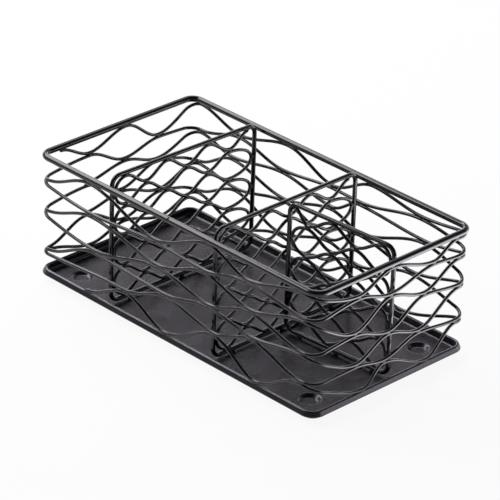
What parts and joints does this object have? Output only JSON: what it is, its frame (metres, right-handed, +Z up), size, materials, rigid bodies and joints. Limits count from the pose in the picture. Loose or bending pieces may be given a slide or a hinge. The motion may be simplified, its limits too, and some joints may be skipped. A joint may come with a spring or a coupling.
{
  "type": "sugar packet holder",
  "caption": "Open wire caddy for sugar and sweetener packets: wavy welded wire walls on a shallow sheet tray, a round wire rim and upright wire dividers.",
  "frame": {"origin": "centre of the footprint, on the plane that the pressed feet stand on", "axes": "+X along the long side, towards the end with the half divider, +Y across, towards the back of the picture, +Z up"},
  "size_m": [0.203, 0.11, 0.0766],
  "materials": {
    "coated_wire": "semi-gloss black powder coat on steel wire",
    "coated_sheet": "semi-gloss black powder coat on steel sheet"
  },
  "bodies": {
    "root": {"tray": "coated_sheet", "rim_wire": "coated_wire", "wall_wire_1": "coated_wire", "wall_wire_2": "coated_wire", "wall_wire_3": "coated_wire", "wall_wire_4": "coated_wire", "wall_wire_5": "coated_wire", "wall_wire_6": "coated_wire", "wall_wire_7": "coated_wire", "left_divider_frame": "coated_wire", "left_divider_filling": "coated_wire", "middle_divider_frame": "coated_wire", "middle_divider_filling": "coated_wire", "half_divider_frame": "coated_wire", "half_divider_filling": "coated_wire"}
  },
  "joints": []
}
